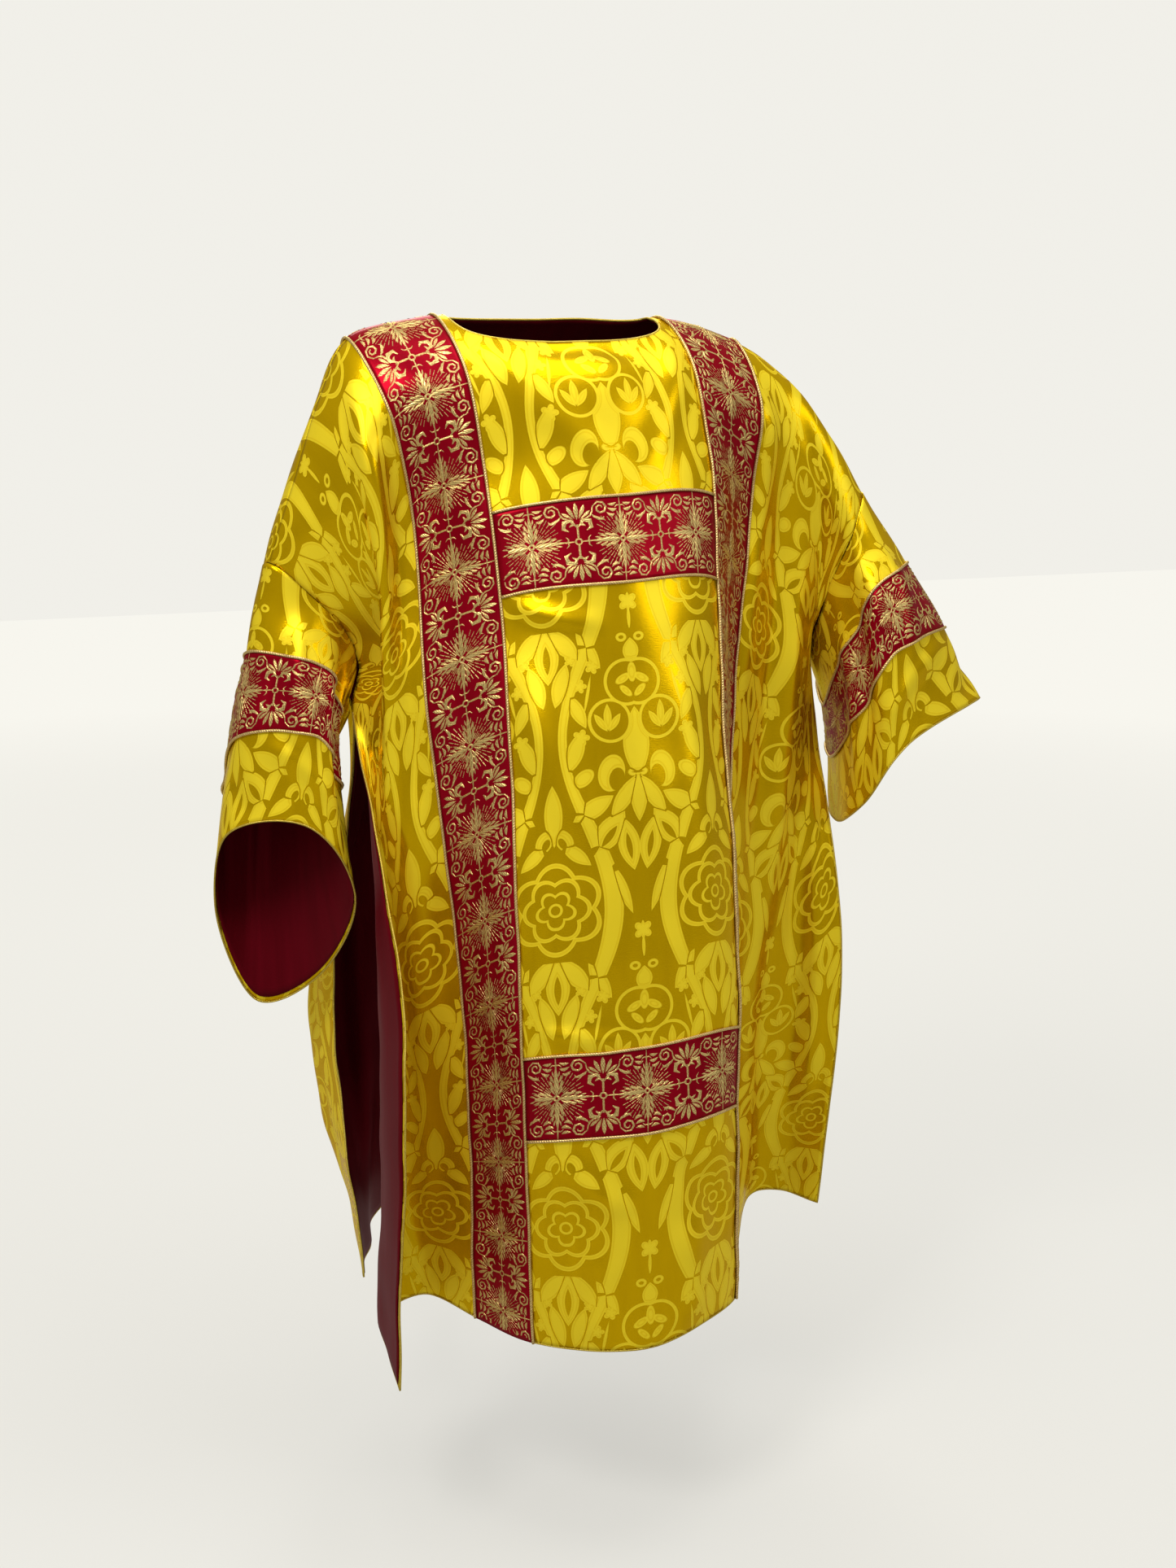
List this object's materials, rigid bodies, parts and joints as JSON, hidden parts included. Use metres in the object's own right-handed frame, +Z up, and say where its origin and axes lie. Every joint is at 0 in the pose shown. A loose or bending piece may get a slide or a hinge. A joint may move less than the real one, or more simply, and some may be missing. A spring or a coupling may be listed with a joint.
{
  "type": "dalmatic",
  "caption": "Wide-sleeved liturgical tunic in gold damask with red satin bands, open at the sides, hanging as worn on a standing figure with the left arm held out.",
  "frame": {"origin": "middle of the neck opening at shoulder height, where the wearer's shoulders hold the garment up", "axes": "+Z up, -Y towards the front of the garment, +X towards the wearer's left"},
  "size_m": [0.9913, 0.6221, 1.2061],
  "materials": {
    "gold_damask": "glossy satin damask",
    "dark_red_lining": "soft lining satin",
    "red_satin": "satin"
  },
  "bodies": {
    "root": {"front_panel": "gold_damask", "back_panel": "gold_damask", "sleeve_right": "gold_damask", "sleeve_left": "gold_damask", "lining_front": "dark_red_lining", "lining_back": "dark_red_lining", "lining_sleeve_right": "dark_red_lining", "lining_sleeve_left": "dark_red_lining", "orphrey_front_right": "red_satin", "orphrey_front_left": "red_satin", "orphrey_back_right": "red_satin", "orphrey_back_left": "red_satin", "orphrey_front_chest": "red_satin", "orphrey_front_lower": "red_satin", "orphrey_back_upper": "red_satin", "orphrey_back_lower": "red_satin", "orphrey_sleeve_right": "red_satin", "orphrey_sleeve_left": "red_satin"}
  },
  "joints": []
}
